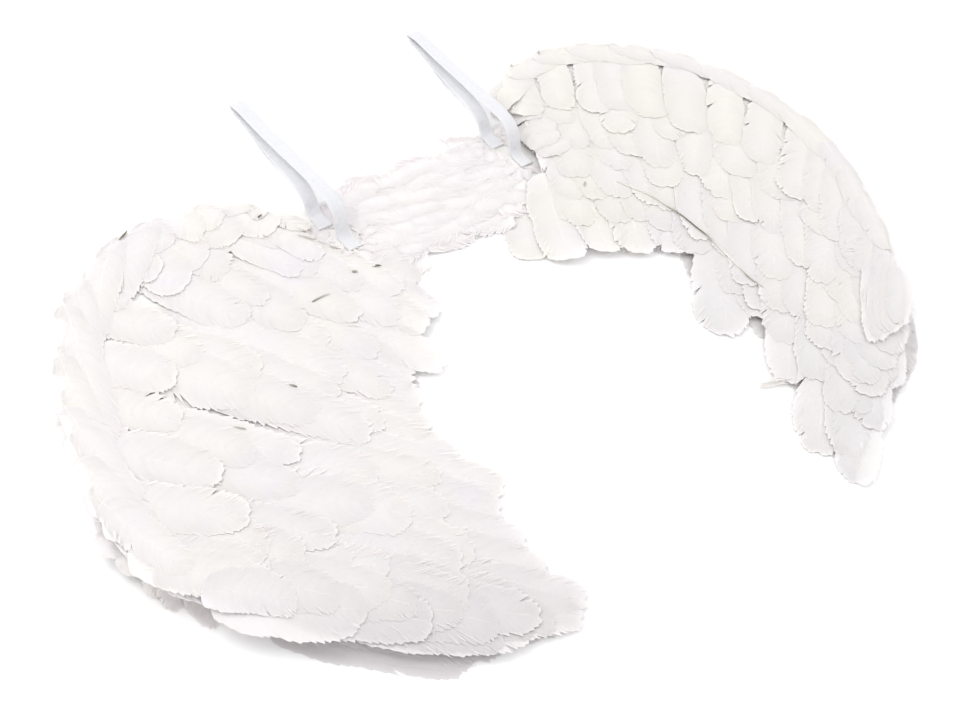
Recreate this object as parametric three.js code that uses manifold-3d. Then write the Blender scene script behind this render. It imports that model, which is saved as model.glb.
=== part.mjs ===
import * as THREE from 'three';
import Module from 'manifold-3d';

const wasm = await Module();
wasm.setup();

// Main sizes in millimetres. The pair lies with its straps up, shoulders toward +Y.
const span = 600;
const halfSpan = span / 2;
const bridgeWidth = 196;
const bridgeDepth = 68;
const bridgeCentreY = 4;
const bridgeCornerRadius = 10;
const feltThickness = 2;
const strapWidth = 10;
const strapThickness = 1.3;
const loopReach = 143.5;
const loopRise = 18.5;

// Arm loops: where along X the near foot, the far foot and the free end lie, and how far up the loop is moved
const loops = {
  right: { nearFoot: -64, farFoot: -70, freeEnd: -57, up: -4 },
  left: { nearFoot: 86, farFoot: 79, freeEnd: 98, up: 0 },
};

// Clearances between pieces that lie on one another
const contactGap = 0.35;
const rowPitch = 2.35;
const rowDepth = 2.2;

// Feather section
const vaneThickness = 0.9;
const ribHeight = 0.45;
const shingleSlope = 0.022;

// Wing outline as shares of half the span: across, then up
const leadingEdge = [
  [0.28, 0.12], [0.427, 0.243], [0.613, 0.25], [0.8, 0.14], [0.94, -0.05],
  [1.0, -0.267], [0.993, -0.417], [0.943, -0.533], [0.883, -0.644],
];
const trailingEdge = [
  [0.113, -0.16], [0.193, -0.22], [0.307, -0.32], [0.363, -0.433], [0.357, -0.617],
  [0.337, -0.817], [0.35, -0.957], [0.467, -0.923], [0.627, -0.881],
];

// How far each wing as made departs from that outline at those nine places, as shares of the chord there:
// outward at the leading edge, and onward at the feather tips
const handmade = {
  right: {
    outward: [0, -0.09, -0.02, 0.02, 0, 0.015, 0.05, 0.1, 0.08],
    onward: [-0.04, 0.06, 0.1, 0.05, 0.01, -0.07, -0.02, -0.01, 0.05],
  },
  left: {
    outward: [0, -0.02, -0.01, -0.02, -0.015, 0, -0.08, -0.22, -0.3],
    onward: [0.18, 0.17, 0.05, -0.05, 0.01, -0.01, 0.09, 0.16, 0.06],
  },
};

// Feather outlines as shares of length and of half width; the last entry before the tip is its shoulder
const roundFeather = [[0, 0.78], [0.6, 1.0], [0.92, 0.66]];
const longFeather = [[0, 0.7], [0.5, 0.97], [0.93, 0.6]];
const backFeather = [[0, 0.62], [0.68, 0.97], [0.93, 0.6]];

// Rows of a wing: root and tip are shares of the way from the leading to the trailing edge
const rows = {
  back: { count: 10, first: 0.3, last: 1.0, root: 0.14, tip: 0.99, width: 36, form: backFeather, level: -1 },
  flight: { count: 15, first: 0.02, last: 0.95, root: 0.5, tip: 1.0, width: 31, form: longFeather, level: 0 },
  lower: { count: 12, first: 0.14, last: 0.94, root: 0.33, tip: 0.77, width: 35, form: roundFeather, level: 1 },
  upper: { count: 12, first: 0.17, last: 0.94, root: 0.16, tip: 0.54, width: 36, form: roundFeather, level: 2 },
  edge: { count: 14, first: 0.13, last: 0.95, root: 0.02, tip: 0.31, width: 35, form: roundFeather, level: 3 },
};

// The wing on the wearer's right lies at -X, the one on the left at +X
const sideSigns = { right: -1, left: 1 };

// Small feathers of the bridge: roots and tips as shares of its depth up from its middle
const bridgeFeatherWidth = 27;
const bridgeFeatherSway = 8;
const bridgeRowPitch = 0.7;
const bridgeRows = [
  { count: 7, spread: 0.96, root: -0.03, tip: -0.6 },
  { count: 7, spread: 1.0, root: 0.28, tip: -0.235 },
  { count: 7, spread: 0.94, root: 0.53, tip: 0.075 },
];

// Wing backing
const backingFirst = 0.14;
const backingLast = 0.96;
const backingNear = 0.03;
const backingFar = 0.72;
const backingLift = rowDepth + contactGap;
const camber = 9;
const innerLift = 1.3;
const innerRise = 1.7;
const tipDroop = 4.3;

function smooth(from, to, value) {
  return THREE.MathUtils.smoothstep(value, from, to);
}

function seededRandom(seed) {
  let state = seed;
  return () => {
    state = (state * 16807) % 2147483647;
    return state / 2147483647;
  };
}

function edgeCurve(table) {
  const points = table.map(([across, up]) => new THREE.Vector3(across * halfSpan, up * halfSpan, 0));
  return new THREE.CatmullRomCurve3(points, false, 'centripetal');
}

const leadingCurve = edgeCurve(leadingEdge);
const trailingCurve = edgeCurve(trailingEdge);

// A place on the wing from its share along the wing and its share across it
function wingPoint(along, across) {
  const s = THREE.MathUtils.clamp(along, 0, 1);
  const lead = leadingCurve.getPoint(s);
  return lead.lerp(trailingCurve.getPoint(s), across);
}

function between(table, along) {
  const place = THREE.MathUtils.clamp(along, 0, 1) * (table.length - 1);
  const index = Math.min(Math.floor(place), table.length - 2);
  return THREE.MathUtils.lerp(table[index], table[index + 1], place - index);
}

// The same place on one wing as it was made
function madePoint(side, along, across) {
  const { outward, onward } = handmade[side];
  const shift = between(onward, along) * across ** 3 - between(outward, along) * (1 - across) ** 2;
  return wingPoint(along, across + shift);
}

function placeGrid() {
  const places = [];
  for (let i = 0; i <= 80; i += 1) {
    for (let j = 0; j <= 34; j += 1) {
      const along = i / 80;
      const across = -0.1 + (j / 34) * 1.2;
      const point = wingPoint(along, across);
      places.push([point.x, point.y, along, across]);
    }
  }
  return places;
}

const knownPlaces = placeGrid();

function nearestShares(x, y) {
  let best = Infinity;
  let shares = [0, 0];
  for (const [gx, gy, along, across] of knownPlaces) {
    const away = (gx - x) ** 2 + (gy - y) ** 2;
    if (away < best) {
      best = away;
      shares = [along, across];
    }
  }
  return shares;
}

// The shares along and across the wing of a place in plan, by stepping from the nearest known place
function wingShares(x, y) {
  let [along, across] = nearestShares(x, y);
  for (let i = 0; i < 14; i += 1) {
    const step = along > 0.5 ? -0.002 : 0.002;
    const here = wingPoint(along, across);
    const onward = wingPoint(along + step, across).sub(here).divideScalar(step);
    const over = wingPoint(along, across + 0.01).sub(here).divideScalar(0.01);
    const missX = x - here.x;
    const missY = y - here.y;
    const area = onward.x * over.y - onward.y * over.x;
    const moveAlong = (missX * over.y - missY * over.x) / area;
    const moveAcross = (onward.x * missY - onward.y * missX) / area;
    along = THREE.MathUtils.clamp(along + THREE.MathUtils.clamp(moveAlong, -0.05, 0.05), 0, 1);
    across = THREE.MathUtils.clamp(across + THREE.MathUtils.clamp(moveAcross, -0.1, 0.1), -0.1, 1.1);
  }
  return [along, across];
}

// Height of the backing's underside: high at the leading edge, low at the trailing one
function backingHeight(along, across) {
  const rise = camber * smooth(0.06, 0.3, along) * (1 - 0.25 * smooth(0.8, 1.0, along));
  return backingLift + rise * Math.max(0, 1 - across / backingFar);
}

function rowHeight(level, along, across) {
  if (level < 0) {
    const seated = backingHeight(along, across) - rowDepth - contactGap;
    return Math.max(0, seated * (1 - smooth(0.72, 0.95, along)));
  }
  const drooping = smooth(0.1, 0.4, along) * (1 - smooth(0.8, 0.97, along));
  const droop = tipDroop * drooping * Math.max(0, (across - 0.55) / 0.45) ** 1.5;
  const rise = innerLift + innerRise * smooth(0.02, 0.2, along);
  return backingLift + feltThickness + contactGap + level * rowPitch + rise - droop;
}

function solid(positions, triangles) {
  const mesh = new wasm.Mesh({
    numProp: 3,
    vertProperties: new Float32Array(positions),
    triVerts: new Uint32Array(triangles),
  });
  mesh.merge();
  return new wasm.Manifold(mesh);
}

// One feather lying flat: a ribbed vane from its root to its tip
function feather(root, tip, width, form) {
  const axis = tip.clone().sub(root);
  const side = new THREE.Vector3(axis.y, -axis.x, 0).normalize().multiplyScalar(width / 2);
  const lift = (width / 2) * shingleSlope;
  const positions = [];
  const triangles = [];
  const put = (share, lateral, height) => {
    const point = root.clone().addScaledVector(axis, share).addScaledVector(side, lateral);
    positions.push(point.x, point.y, lift + height - lift * lateral);
    return positions.length / 3 - 1;
  };
  const rings = form.map(([share, half]) => ({
    lowLeft: put(share, -half, 0),
    lowRight: put(share, half, 0),
    topRight: put(share, half, vaneThickness),
    rib: put(share, 0, vaneThickness + ribHeight),
    topLeft: put(share, -half, vaneThickness),
  }));
  const order = ['lowLeft', 'lowRight', 'topRight', 'rib', 'topLeft'];
  for (let i = 0; i + 1 < rings.length; i += 1) {
    order.forEach((name, j) => {
      const next = order[(j + 1) % order.length];
      triangles.push(rings[i][name], rings[i + 1][name], rings[i][next]);
      triangles.push(rings[i][next], rings[i + 1][name], rings[i + 1][next]);
    });
  }
  const first = rings[0];
  triangles.push(first.lowLeft, first.lowRight, first.topRight);
  triangles.push(first.lowLeft, first.topRight, first.rib);
  triangles.push(first.lowLeft, first.rib, first.topLeft);
  const last = rings[rings.length - 1];
  const tipLow = put(1, 0, 0);
  const tipTop = put(1, 0, vaneThickness);
  triangles.push(last.lowRight, last.lowLeft, tipLow);
  triangles.push(last.topRight, last.lowRight, tipLow);
  triangles.push(last.topRight, tipLow, tipTop);
  triangles.push(last.rib, last.topRight, tipTop);
  triangles.push(last.topLeft, last.rib, tipTop);
  triangles.push(last.topLeft, tipTop, tipLow);
  triangles.push(last.lowLeft, last.topLeft, tipLow);
  return solid(positions, triangles);
}

// A slab that follows the wing between two shares along and two across it
function wingSlab(side, alongRange, acrossRange, steps, thickness) {
  const [alongSteps, acrossSteps] = steps;
  const positions = [];
  const triangles = [];
  const columns = acrossSteps + 1;
  const layer = (alongSteps + 1) * columns;
  for (const height of [0, thickness]) {
    for (let i = 0; i <= alongSteps; i += 1) {
      for (let j = 0; j <= acrossSteps; j += 1) {
        const along = THREE.MathUtils.lerp(alongRange[0], alongRange[1], i / alongSteps);
        const across = THREE.MathUtils.lerp(acrossRange[0], acrossRange[1], j / acrossSteps);
        const point = madePoint(side, along, across);
        positions.push(point.x, point.y, height);
      }
    }
  }
  const at = (i, j, top) => i * columns + j + (top ? layer : 0);
  const quad = (a, b, c, d) => triangles.push(a, b, c, a, c, d);
  for (let i = 0; i < alongSteps; i += 1) {
    for (let j = 0; j < acrossSteps; j += 1) {
      quad(at(i, j, true), at(i, j + 1, true), at(i + 1, j + 1, true), at(i + 1, j, true));
      quad(at(i, j, false), at(i + 1, j, false), at(i + 1, j + 1, false), at(i, j + 1, false));
    }
    quad(at(i, 0, false), at(i, 0, true), at(i + 1, 0, true), at(i + 1, 0, false));
    const j = acrossSteps;
    quad(at(i, j, false), at(i + 1, j, false), at(i + 1, j, true), at(i, j, true));
  }
  for (let j = 0; j < acrossSteps; j += 1) {
    const i = alongSteps;
    quad(at(0, j, false), at(0, j + 1, false), at(0, j + 1, true), at(0, j, true));
    quad(at(i, j, false), at(i, j, true), at(i, j + 1, true), at(i, j + 1, false));
  }
  return solid(positions, triangles);
}

// The mesh of a flat solid with each place raised by the given height, on the chosen side of the pair
function raised(flat, heightAt, sideSign) {
  const mesh = flat.getMesh();
  const positions = [];
  for (let i = 0; i < mesh.vertProperties.length; i += mesh.numProp) {
    const x = mesh.vertProperties[i];
    const y = mesh.vertProperties[i + 1];
    const z = mesh.vertProperties[i + 2];
    positions.push(sideSign * x, y, z + heightAt(x, y));
  }
  const triangles = Array.from(mesh.triVerts);
  if (sideSign < 0) {
    for (let i = 0; i < triangles.length; i += 3) {
      [triangles[i], triangles[i + 1]] = [triangles[i + 1], triangles[i]];
    }
  }
  const geometry = new THREE.BufferGeometry();
  geometry.setAttribute('position', new THREE.Float32BufferAttribute(positions, 3));
  geometry.setIndex(triangles);
  return geometry;
}

function joined(solids) {
  return solids.reduce((body, next) => body.add(next));
}

// One row: its feathers fused with the strip that carries their roots
function featherRow(row, random, side) {
  const feathers = [];
  for (let i = 0; i < row.count; i += 1) {
    const share = i / (row.count - 1);
    const along = THREE.MathUtils.lerp(row.first, row.last, share);
    const longer = 1 + 0.05 * (random() - 0.5);
    const root = madePoint(side, along, row.root);
    const tip = madePoint(side, along, row.root + (row.tip - row.root) * longer);
    const width = row.width * (0.62 + 0.38 * smooth(0, 0.35, along)) * (0.94 + 0.12 * random());
    feathers.push(feather(root, tip, width, row.form));
  }
  const stripAcross = [row.root - 0.01, row.root + 0.035];
  const strip = wingSlab(side, [row.first, row.last], stripAcross, [row.count, 1], vaneThickness);
  const body = joined([strip, ...feathers]);
  return raised(body, (x, y) => rowHeight(row.level, ...wingShares(x, y)), sideSigns[side]);
}

function wingBacking(side) {
  const alongRange = [backingFirst, backingLast];
  const flat = wingSlab(side, alongRange, [backingNear, backingFar], [14, 5], feltThickness);
  return raised(flat, (x, y) => backingHeight(...wingShares(x, y)), sideSigns[side]);
}

// Bridge between the wings
function bridgePanel() {
  const shape = new THREE.Shape();
  const w = bridgeWidth / 2;
  const d = bridgeDepth / 2;
  const r = bridgeCornerRadius;
  shape.moveTo(-w + r, -d);
  shape.lineTo(w - r, -d);
  shape.absarc(w - r, -d + r, r, -Math.PI / 2, 0);
  shape.lineTo(w, d - r);
  shape.absarc(w - r, d - r, r, 0, Math.PI / 2);
  shape.lineTo(-w + r, d);
  shape.absarc(-w + r, d - r, r, Math.PI / 2, Math.PI);
  shape.lineTo(-w, -d + r);
  shape.absarc(-w + r, -d + r, r, Math.PI, 1.5 * Math.PI);
  const options = { depth: feltThickness, bevelEnabled: false, curveSegments: 4 };
  const geometry = new THREE.ExtrudeGeometry(shape, options);
  geometry.translate(0, bridgeCentreY, 0);
  return geometry;
}

// They fill the bridge between the two arm loops
function bridgeFeathers(random) {
  const feathers = [];
  const from = loops.right.nearFoot + strapWidth / 2;
  const to = loops.left.farFoot - strapWidth / 2;
  const margin = (bridgeFeatherWidth + bridgeFeatherSway) / 2 + contactGap;
  const middle = (from + to) / 2;
  const halfRoom = (to - from) / 2 - margin;
  bridgeRows.forEach((row, level) => {
    for (let i = 0; i < row.count; i += 1) {
      const x = middle + row.spread * halfRoom * THREE.MathUtils.lerp(-1, 1, i / (row.count - 1));
      const sway = bridgeFeatherSway * (random() - 0.5);
      const rootY = bridgeCentreY + bridgeDepth * (row.root + 0.04 * random());
      const tipY = bridgeCentreY + bridgeDepth * (row.tip - 0.07 * random());
      const root = new THREE.Vector3(x, rootY, 0);
      const tip = new THREE.Vector3(x + sway, tipY, 0);
      const width = bridgeFeatherWidth * (0.88 + 0.12 * random());
      feathers.push(feather(root, tip, width, roundFeather).translate([0, 0, level * bridgeRowPitch]));
    }
  });
  return raised(joined(feathers), () => feltThickness + contactGap, 1);
}

// Side of an arm loop from its near foot, out over the top and back below to its far foot:
// shares of the loop's reach up the pair and of its rise
const loopSide = [
  [-0.014, 0], [0.056, 0], [0.084, 0.135], [0.105, 0.486], [0.139, 0.81], [0.195, 1], [0.293, 1],
  [0.418, 0.838], [0.571, 0.568], [0.725, 0.314], [0.85, 0.173], [0.941, 0.119], [1, 0.005],
  [0.962, -0.114], [0.85, -0.119], [0.739, -0.103], [0.641, 0.022], [0.544, 0.227], [0.432, 0.443],
  [0.348, 0.503], [0.293, 0.389], [0.258, 0.151], [0.23, 0.027], [0.202, 0], [0.15, 0],
];

// Place along X of either leg of a loop, at a distance up the pair
function loopAcross(loop, outgoing, y) {
  const foot = outgoing ? loop.nearFoot : loop.farFoot;
  return THREE.MathUtils.lerp(foot, loop.freeEnd, smooth(0.2 * loopReach, 0.95 * loopReach, y));
}

// Arm loop: one elastic band with both ends on the bridge panel
function armLoop(loop) {
  const seat = feltThickness + contactGap + strapThickness / 2;
  const lowest = strapThickness / 2 + 0.3;
  const points = loopSide.map(([reach, rise]) => {
    return new THREE.Vector3(reach * loopReach, Math.max(rise * loopRise + seat, lowest), 0);
  });
  const curve = new THREE.CatmullRomCurve3(points, false, 'centripetal');
  const steps = 46;
  const positions = [];
  for (let i = 0; i <= steps; i += 1) {
    const { x: y, y: z } = curve.getPoint(i / steps);
    const tangent = curve.getTangent(i / steps);
    const x = loopAcross(loop, i * 2 < steps, y);
    for (const [lateral, height] of [[-1, -1], [1, -1], [1, 1], [-1, 1]]) {
      const away = height * strapThickness / 2;
      positions.push(x + lateral * strapWidth / 2);
      positions.push(y + loop.up - tangent.y * away);
      positions.push(z + tangent.x * away);
    }
  }
  const triangles = [0, 1, 2, 0, 2, 3];
  for (let i = 0; i < steps; i += 1) {
    for (let j = 0; j < 4; j += 1) {
      const a = i * 4 + j;
      const b = i * 4 + ((j + 1) % 4);
      triangles.push(a, a + 4, b + 4, a, b + 4, b);
    }
  }
  const end = steps * 4;
  triangles.push(end, end + 2, end + 1, end, end + 3, end + 2);
  const geometry = new THREE.BufferGeometry();
  geometry.setAttribute('position', new THREE.Float32BufferAttribute(positions, 3));
  geometry.setIndex(triangles);
  return geometry;
}

// Materials
function featherWhite() {
  return new THREE.MeshStandardMaterial({ color: 0xf6f3ee, roughness: 0.9, metalness: 0 });
}

function feltWhite() {
  return new THREE.MeshStandardMaterial({ color: 0xefece8, roughness: 0.95, metalness: 0 });
}

function elasticWhite() {
  return new THREE.MeshStandardMaterial({ color: 0xf4f6fb, roughness: 0.7, metalness: 0 });
}

function namedMesh(name, geometry, material) {
  const mesh = new THREE.Mesh(geometry, material);
  mesh.name = name;
  mesh.geometry.computeVertexNormals();
  return mesh;
}

function wing(side, seed) {
  const random = seededRandom(seed);
  const named = (name, geometry, material) => namedMesh(`${side}_wing_${name}`, geometry, material);
  return [
    named('back_feathers', featherRow(rows.back, random, side), featherWhite()),
    named('backing', wingBacking(side), feltWhite()),
    named('flight_feathers', featherRow(rows.flight, random, side), featherWhite()),
    named('lower_coverts', featherRow(rows.lower, random, side), featherWhite()),
    named('upper_coverts', featherRow(rows.upper, random, side), featherWhite()),
    named('edge_feathers', featherRow(rows.edge, random, side), featherWhite()),
  ];
}

const group = new THREE.Group();
group.name = 'angel_wings';
group.add(...wing('right', 7));
group.add(...wing('left', 19));
group.add(namedMesh('bridge_panel', bridgePanel(), feltWhite()));
group.add(namedMesh('bridge_feathers', bridgeFeathers(seededRandom(5)), featherWhite()));
group.add(namedMesh('right_strap', armLoop(loops.right), elasticWhite()));
group.add(namedMesh('left_strap', armLoop(loops.left), elasticWhite()));

// Stands on its lowest point, centred in plan
group.updateMatrixWorld(true);
const box = new THREE.Box3().setFromObject(group);
const centre = box.getCenter(new THREE.Vector3());
for (const mesh of group.children) {
  mesh.geometry.translate(-centre.x, -centre.y, -box.min.z);
}

export default group;
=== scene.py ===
import math

import bpy
import numpy as np
from mathutils import Matrix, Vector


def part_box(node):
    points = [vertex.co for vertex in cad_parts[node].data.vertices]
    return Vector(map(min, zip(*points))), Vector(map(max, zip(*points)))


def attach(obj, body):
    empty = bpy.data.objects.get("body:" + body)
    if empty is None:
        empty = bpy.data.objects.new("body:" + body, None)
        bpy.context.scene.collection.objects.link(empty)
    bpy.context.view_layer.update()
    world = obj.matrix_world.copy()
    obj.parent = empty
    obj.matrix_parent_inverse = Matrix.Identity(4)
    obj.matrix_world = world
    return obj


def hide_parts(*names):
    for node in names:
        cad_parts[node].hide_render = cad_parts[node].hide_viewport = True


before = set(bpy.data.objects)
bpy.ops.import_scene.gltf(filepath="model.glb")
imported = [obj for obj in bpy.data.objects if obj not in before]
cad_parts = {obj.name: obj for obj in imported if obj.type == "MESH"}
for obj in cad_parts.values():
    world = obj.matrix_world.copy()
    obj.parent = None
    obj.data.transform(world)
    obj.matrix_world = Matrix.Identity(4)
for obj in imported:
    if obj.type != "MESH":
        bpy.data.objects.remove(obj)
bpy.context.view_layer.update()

# Lengths are in millimetres, in the wings' own frame: the middle of the bridge is at the origin.
METRE = 0.001
HALF_SPAN = 300.0
FELT = 2.0
GAP = 0.35
ROW_PITCH = 2.35
BACKING_LIFT = 2.55
CAMBER = 9.0
BACKING_ACROSS = (0.03, 0.72)
BACKING_ALONG = (0.14, 0.96)
SIDES = {"right": -1.0, "left": 1.0}
BRIDGE_MIDDLE = (0.0, 4.0, 1.0)
BRIDGE_HALF_WIDTH, BRIDGE_HALF_DEPTH, BRIDGE_CORNER = 98.0, 34.0, 10.0
SHARP_ANGLE = 50
LOWEST = 0.02
QUILL_ENDS, QUILL_LIFT = (-0.02, 0.95), 0.12
STRAND = np.array([0, 0.35, 0.7, 1])
TO_ROW_FRAME = (np.array(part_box("bridge_panel"), float).mean(0) * 1000) - BRIDGE_MIDDLE

LEADING = np.array([
    (0.28, 0.12), (0.427, 0.243), (0.613, 0.25), (0.8, 0.14), (0.94, -0.05),
    (1.0, -0.267), (0.993, -0.417), (0.943, -0.533), (0.883, -0.644),
]) * HALF_SPAN
TRAILING = np.array([
    (0.113, -0.16), (0.193, -0.22), (0.307, -0.32), (0.363, -0.433), (0.357, -0.617),
    (0.337, -0.817), (0.35, -0.957), (0.467, -0.923), (0.627, -0.881),
]) * HALF_SPAN
OUTWARD = {
    "right": [0, -0.09, -0.02, 0.02, 0, 0.015, 0.05, 0.1, 0.08],
    "left": [0, -0.02, -0.01, -0.02, -0.015, 0, -0.08, -0.22, -0.3],
}
ONWARD = {
    "right": [-0.04, 0.06, 0.1, 0.05, 0.01, -0.07, -0.02, -0.01, 0.05],
    "left": [0.18, 0.17, 0.05, -0.05, 0.01, -0.01, 0.09, 0.16, 0.06],
}


def smooth(low, high, value):
    t = np.clip((np.asarray(value, float) - low) / (high - low), 0, 1)
    return t * t * (3 - 2 * t)


def blended(field, place):
    """The values of a raster at places between its cells."""
    i = np.minimum(place.astype(int), np.array(field.shape) - 2)
    f = place - i
    near = field[i[:, 0], i[:, 1]] * (1 - f[:, 0]) + field[i[:, 0] + 1, i[:, 1]] * f[:, 0]
    far = field[i[:, 0], i[:, 1] + 1] * (1 - f[:, 0]) + field[i[:, 0] + 1, i[:, 1] + 1] * f[:, 0]
    return near * (1 - f[:, 1]) + far * f[:, 1]


def run_along(points):
    """Length from the first point of a line to each of its points."""
    return np.concatenate([[0], np.cumsum(np.linalg.norm(np.diff(points, axis=0), axis=1))])


def put(name, data):
    thing = bpy.data.objects.new(name, data)
    bpy.context.scene.collection.objects.link(thing)
    return thing


# Places on a wing

def edge_curve(points, share):
    """A centripetal Catmull-Rom curve through the points, at shares of the way along."""
    share = np.clip(np.atleast_1d(np.asarray(share, float)), 0, 1)
    padded = np.vstack([2 * points[0] - points[1], points, 2 * points[-1] - points[-2]])
    place = share * (len(points) - 1)
    i = np.minimum(place.astype(int), len(points) - 2)
    t = (place - i)[:, None]
    p0, p1, p2, p3 = padded[i], padded[i + 1], padded[i + 2], padded[i + 3]
    d0, d1, d2 = (np.sqrt(np.linalg.norm(b - a, axis=1))[:, None] for a, b in ((p0, p1), (p1, p2), (p2, p3)))
    m1 = ((p1 - p0) / d0 - (p2 - p0) / (d0 + d1) + (p2 - p1) / d1) * d1
    m2 = ((p2 - p1) / d1 - (p3 - p1) / (d1 + d2) + (p3 - p2) / d2) * d1
    return p1 + m1 * t + (3 * (p2 - p1) - 2 * m1 - m2) * t ** 2 + (2 * (p1 - p2) + m1 + m2) * t ** 3


def wing_point(along, across):
    lead = edge_curve(LEADING, along)
    trail = edge_curve(TRAILING, along)
    return lead + (trail - lead) * np.atleast_1d(across)[:, None]


def made_point(side, along, across):
    along = np.atleast_1d(np.asarray(along, float))
    across = np.broadcast_to(np.asarray(across, float), along.shape)
    places = np.linspace(0, 1, len(LEADING))
    onward = np.interp(along, places, ONWARD[side])
    outward = np.interp(along, places, OUTWARD[side])
    return wing_point(along, across + onward * across ** 3 - outward * (1 - across) ** 2)


class ShareMap:
    """The shares along and across a wing of any place in plan, from a raster solved once."""

    def __init__(self, step=3.0):
        self.low = np.array([-40.0, -345.0])
        self.step = step
        self.shape = (150, 165)
        gx, gy = np.meshgrid(np.arange(self.shape[0]), np.arange(self.shape[1]), indexing="ij")
        target = self.low + step * np.stack([gx.ravel(), gy.ravel()], 1)
        a, b = np.meshgrid(np.linspace(0, 1, 81), np.linspace(-0.1, 1.1, 35), indexing="ij")
        a, b = a.ravel(), b.ravel()
        known = wing_point(a, b)
        nearest = np.concatenate([
            ((known[None] - part[:, None]) ** 2).sum(2).argmin(1) for part in np.array_split(target, 60)
        ])
        s, t = a[nearest], b[nearest]
        for _ in range(14):
            h = np.where(s > 0.5, -0.002, 0.002)
            here = wing_point(s, t)
            onward = (wing_point(s + h, t) - here) / h[:, None]
            over = (wing_point(s, t + 0.01) - here) / 0.01
            miss = target - here
            area = onward[:, 0] * over[:, 1] - onward[:, 1] * over[:, 0]
            ds = (miss[:, 0] * over[:, 1] - miss[:, 1] * over[:, 0]) / area
            dt = (onward[:, 0] * miss[:, 1] - onward[:, 1] * miss[:, 0]) / area
            s = np.clip(s + np.clip(ds, -0.05, 0.05), 0, 1)
            t = np.clip(t + np.clip(dt, -0.1, 0.1), -0.1, 1.1)
        self.s = s.reshape(self.shape)
        self.t = t.reshape(self.shape)

    def __call__(self, plan):
        place = (plan - self.low) / self.step
        place = np.clip(place, 0, np.array(self.shape) - 1.001)
        return blended(self.s, place), blended(self.t, place)


share_map = ShareMap()


def backing_height(s, t):
    rise = CAMBER * smooth(0.06, 0.3, s) * (1 - 0.25 * smooth(0.8, 1.0, s))
    return BACKING_LIFT + rise * np.maximum(0, 1 - t / BACKING_ACROSS[1])


def row_height(level, s, t):
    """Height of the underside of a row of feathers: -1 lies under the backing, 0 to 3 lie on it."""
    if level < 0:
        seated = backing_height(s, t) - BACKING_LIFT
        return np.maximum(0, seated * (1 - smooth(0.72, 0.95, s)))
    drooping = smooth(0.1, 0.4, s) * (1 - smooth(0.8, 0.97, s))
    droop = 4.3 * drooping * np.maximum(0, (t - 0.55) / 0.45) ** 1.5
    return BACKING_LIFT + FELT + GAP + level * ROW_PITCH + 1.3 + 1.7 * smooth(0.02, 0.2, s) - droop


# What lies on what

def smeared(field, reach, mean=False):
    """The highest, or the mean, of a raster within reach cells of each cell."""
    for axis in (0, 1):
        wide = np.pad(field, [(reach, reach) if a == axis else (0, 0) for a in (0, 1)], mode="edge")
        n = field.shape[axis]
        parts = [np.take(wide, np.arange(k, k + n), axis) for k in range(2 * reach + 1)]
        field = np.mean(parts, axis=0) if mean else np.max(parts, axis=0)
    return field


def finer(grid, rows, columns):
    """The same grid of points with more between them, on straight lines."""
    for axis, count in ((0, rows), (1, columns)):
        place = np.linspace(0, grid.shape[axis] - 1, count)
        i = np.minimum(place.astype(int), grid.shape[axis] - 2)
        f = (place - i).reshape((-1, 1, 1) if axis == 0 else (1, -1, 1))
        grid = np.take(grid, i, axis) * (1 - f) + np.take(grid, i + 1, axis) * f
    return grid


class Pile:
    """The top of what has been laid so far, so that each feather drapes over the ones under it."""

    def __init__(self, low, high, step=1.5):
        self.low = np.array(low, float)
        self.step = step
        self.top = np.zeros(tuple(((np.array(high) - self.low) / step).astype(int) + 2))

    def under(self, plan, reach=2):
        place = np.clip((plan.reshape(-1, 2) - self.low) / self.step, 0, np.array(self.top.shape) - 1.001)
        first = np.maximum(place.min(0).astype(int) - 2 * reach, 0)
        last = np.minimum(place.max(0).astype(int) + 2 * reach + 2, self.top.shape)
        field = self.top[first[0]:last[0], first[1]:last[1]]
        field = smeared(smeared(field, 1), reach, mean=True)
        return blended(field, place - first).reshape(plan.shape[:-1])

    def press(self, grid):
        """Takes in a grid of points that has been laid."""
        points = finer(grid, grid.shape[0] * 2, grid.shape[1] * 3).reshape(-1, 3)
        i = np.round((points[:, :2] - self.low) / self.step).astype(int)
        inside = ((i >= 0) & (i < self.top.shape)).all(1)
        np.maximum.at(self.top, (i[inside, 0], i[inside, 1]), points[inside, 2])


# Meshes

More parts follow.
